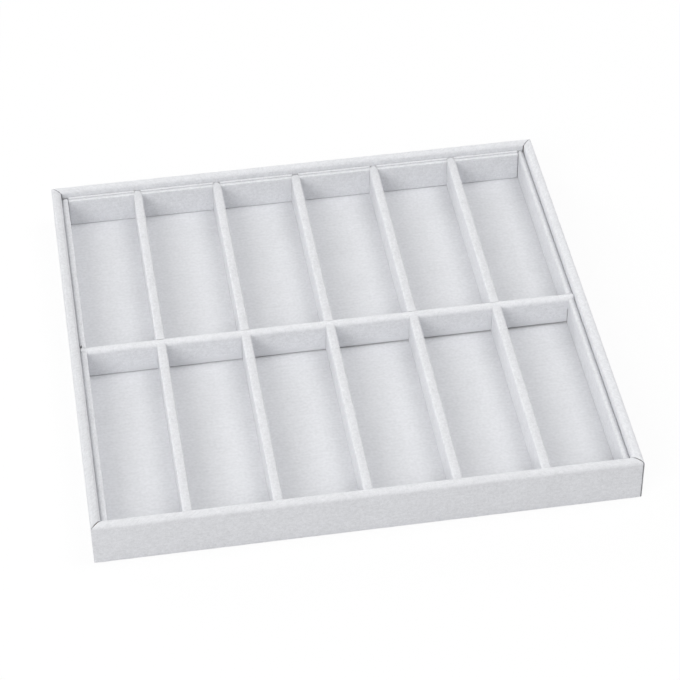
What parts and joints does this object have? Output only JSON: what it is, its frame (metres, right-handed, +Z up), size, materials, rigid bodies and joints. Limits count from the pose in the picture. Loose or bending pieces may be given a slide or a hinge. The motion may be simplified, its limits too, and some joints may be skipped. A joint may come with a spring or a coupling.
{
  "type": "sunglasses storage tray",
  "caption": "Shallow open cloth-covered tray with rounded mitred walls and a lift-out lattice of dividers, each compartment sized for a folded pair of sunglasses.",
  "frame": {"origin": "middle of the underside, on the surface that the tray stands on", "axes": "+X to the right along the long side with the six columns of compartments, +Y to the back, +Z up"},
  "size_m": [0.36, 0.35, 0.0325],
  "materials": {
    "suede_cloth": "matt suede nap",
    "lining_cloth": "matt suede nap",
    "underside_cloth": "matt",
    "grey_board": "raw pressed board",
    "fibre_board": "raw fibre board"
  },
  "bodies": {
    "tray": {"underside_cover": "underside_cloth", "base_board": "grey_board", "floor_lining": "lining_cloth", "front_wall_board": "fibre_board", "front_wall_cover": "suede_cloth", "right_wall_board": "fibre_board", "right_wall_cover": "suede_cloth", "back_wall_board": "fibre_board", "back_wall_cover": "suede_cloth", "left_wall_board": "fibre_board", "left_wall_cover": "suede_cloth"},
    "lattice": {"front_liner_board": "grey_board", "front_liner_cover": "suede_cloth", "right_liner_board": "grey_board", "right_liner_cover": "suede_cloth", "back_liner_board": "grey_board", "back_liner_cover": "suede_cloth", "left_liner_board": "grey_board", "left_liner_cover": "suede_cloth", "row_divider_board": "grey_board", "row_divider_cover": "suede_cloth", "cross_divider_1_board": "grey_board", "cross_divider_1_cover": "suede_cloth", "cross_divider_2_board": "grey_board", "cross_divider_2_cover": "suede_cloth", "cross_divider_3_board": "grey_board", "cross_divider_3_cover": "suede_cloth", "cross_divider_4_board": "grey_board", "cross_divider_4_cover": "suede_cloth", "cross_divider_5_board": "grey_board", "cross_divider_5_cover": "suede_cloth"}
  },
  "joints": [
    {"name": "lattice_lift", "type": "slide", "parent": "tray", "child": "lattice", "axis": [0, 0, 1], "range_m": [0, 0.032]}
  ]
}
